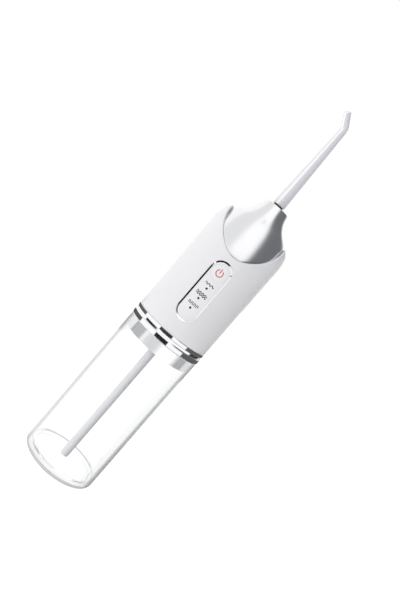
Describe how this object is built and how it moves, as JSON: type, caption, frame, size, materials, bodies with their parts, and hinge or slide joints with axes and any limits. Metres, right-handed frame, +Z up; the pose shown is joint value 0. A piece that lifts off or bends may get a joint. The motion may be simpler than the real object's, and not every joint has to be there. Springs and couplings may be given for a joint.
{
  "type": "water flosser",
  "caption": "Cordless water flosser: round handle over a clear push-on water tank, bell-shaped silver cap and a slim turning nozzle with a bent tip.",
  "frame": {"origin": "centre of the tank's foot, on the table the flosser stands on", "axes": "+Z up the handle's axis towards the nozzle, -Y out of the control panel, +X to the right of someone facing the panel"},
  "size_m": [0.0524, 0.0524, 0.2829],
  "materials": {
    "body_shell": "satin",
    "top_cap": "satin",
    "base_ring": "polished",
    "tank_plug": "satin",
    "plug_seal": "matte",
    "vent_valve": "matte",
    "suction_tube": "satin",
    "water_tank": "gloss",
    "panel_bezel": "polished",
    "control_panel": "satin",
    "power_button": "satin",
    "switch_plunger": "matte",
    "board_switch": "satin",
    "mode_lights": "gloss",
    "main_board": "satin",
    "board_screws": "satin",
    "control_chip": "matte",
    "status_leds": "gloss",
    "chassis": "matte",
    "deck_screws": "satin",
    "gear_plate": "matte",
    "plate_screws": "satin",
    "battery_cell": "gloss",
    "battery_tabs": "satin",
    "battery_wires": "satin",
    "motor_can": "satin",
    "motor_endcap": "matte",
    "motor_magnets": "matte",
    "motor_rotor": "satin",
    "motor_wires": "satin",
    "motor_screws": "satin",
    "pinion": "satin",
    "crank_gear": "satin",
    "gear_axle": "polished",
    "crank_pin": "polished",
    "connecting_rod": "satin",
    "wrist_pin": "polished",
    "piston": "satin",
    "piston_seal": "matte",
    "pump_block": "satin",
    "pump_cap": "satin",
    "pump_screws": "satin",
    "inlet_ball": "polished",
    "outlet_ball": "polished",
    "inlet_spring": "polished",
    "outlet_spring": "polished",
    "suction_hose": "satin",
    "outlet_hose": "satin",
    "nozzle_seat": "satin",
    "seat_screws": "satin",
    "nozzle_collar": "gloss",
    "collar_seal": "matte",
    "nozzle": "satin",
    "nozzle_seal": "matte",
    "port_cover": "matte",
    "charge_socket": "satin",
    "charge_board": "satin"
  },
  "bodies": {
    "handle": {"body_shell": "body_shell", "top_cap": "top_cap", "base_ring": "base_ring", "tank_plug": "tank_plug", "plug_seal": "plug_seal", "vent_valve": "vent_valve", "suction_tube": "suction_tube", "panel_bezel": "panel_bezel", "control_panel": "control_panel", "board_switch": "board_switch", "mode_lights": "mode_lights", "main_board": "main_board", "board_screws": "board_screws", "control_chip": "control_chip", "status_leds": "status_leds", "chassis": "chassis", "deck_screws": "deck_screws", "gear_plate": "gear_plate", "plate_screws": "plate_screws", "battery_cell": "battery_cell", "battery_tabs": "battery_tabs", "battery_wires": "battery_wires", "motor_can": "motor_can", "motor_endcap": "motor_endcap", "motor_magnets": "motor_magnets", "motor_wires": "motor_wires", "motor_screws": "motor_screws", "gear_axle": "gear_axle", "pump_block": "pump_block", "pump_cap": "pump_cap", "pump_screws": "pump_screws", "inlet_spring": "inlet_spring", "outlet_spring": "outlet_spring", "suction_hose": "suction_hose", "outlet_hose": "outlet_hose", "nozzle_seat": "nozzle_seat", "seat_screws": "seat_screws", "charge_socket": "charge_socket", "charge_board": "charge_board"},
    "tank": {"water_tank": "water_tank"},
    "nozzle_collar": {"nozzle_collar": "nozzle_collar", "collar_seal": "collar_seal"},
    "nozzle": {"nozzle": "nozzle", "nozzle_seal": "nozzle_seal"},
    "power_button": {"power_button": "power_button", "switch_plunger": "switch_plunger"},
    "motor_rotor": {"motor_rotor": "motor_rotor", "pinion": "pinion"},
    "crank_gear": {"crank_gear": "crank_gear"},
    "piston": {"piston": "piston", "piston_seal": "piston_seal", "wrist_pin": "wrist_pin"},
    "connecting_rod": {"connecting_rod": "connecting_rod", "crank_pin": "crank_pin"},
    "inlet_ball": {"inlet_ball": "inlet_ball"},
    "outlet_ball": {"outlet_ball": "outlet_ball"},
    "port_cover": {"port_cover": "port_cover"}
  },
  "joints": [
    {"name": "tank_pull", "type": "slide", "parent": "handle", "child": "tank", "axis": [0, 0, 1], "range_m": [-0.11, 0]},
    {"name": "nozzle_spin", "type": "hinge", "parent": "handle", "child": "nozzle_collar", "pos_m": [0, 0, 0.2065], "axis": [0, 0, 1], "continuous": true},
    {"name": "nozzle_pull", "type": "slide", "parent": "nozzle_collar", "child": "nozzle", "axis": [0, 0, 1], "range_m": [0, 0.03]},
    {"name": "button_press", "type": "slide", "parent": "handle", "child": "power_button", "axis": [0, 1, 0], "range_m": [0, 0.0006]},
    {"name": "motor_spin", "type": "hinge", "parent": "handle", "child": "motor_rotor", "pos_m": [0.0102, 0.0048, 0.145], "axis": [0, 0, 1], "continuous": true},
    {"name": "crank_spin", "type": "hinge", "parent": "handle", "child": "crank_gear", "pos_m": [0.0102, -0.00476, 0.162], "axis": [0, 0, 1], "continuous": true},
    {"name": "piston_stroke", "type": "slide", "parent": "handle", "child": "piston", "axis": [1, 0, 0], "range_m": [0, 0.0045]},
    {"name": "rod_swing", "type": "hinge", "parent": "piston", "child": "connecting_rod", "pos_m": [-0.00505, -0.00476, 0.1675], "axis": [0, 0, 1], "range_deg": [-10, 10]},
    {"name": "inlet_ball_lift", "type": "slide", "parent": "handle", "child": "inlet_ball", "axis": [0, 0, 1], "range_m": [0, 0.001], "deforming": ["inlet_spring"]},
    {"name": "outlet_ball_lift", "type": "slide", "parent": "handle", "child": "outlet_ball", "axis": [0, 0, 1], "range_m": [0, 0.0008], "deforming": ["outlet_spring"]},
    {"name": "port_cover_open", "type": "hinge", "parent": "handle", "child": "port_cover", "pos_m": [0, 0.02555, 0.12405], "axis": [-1, 0, 0], "range_deg": [0, 90]}
  ],
  "couplings": [
    {"joint": "crank_spin", "follows": "motor_spin", "ratio": -0.35714}
  ]
}
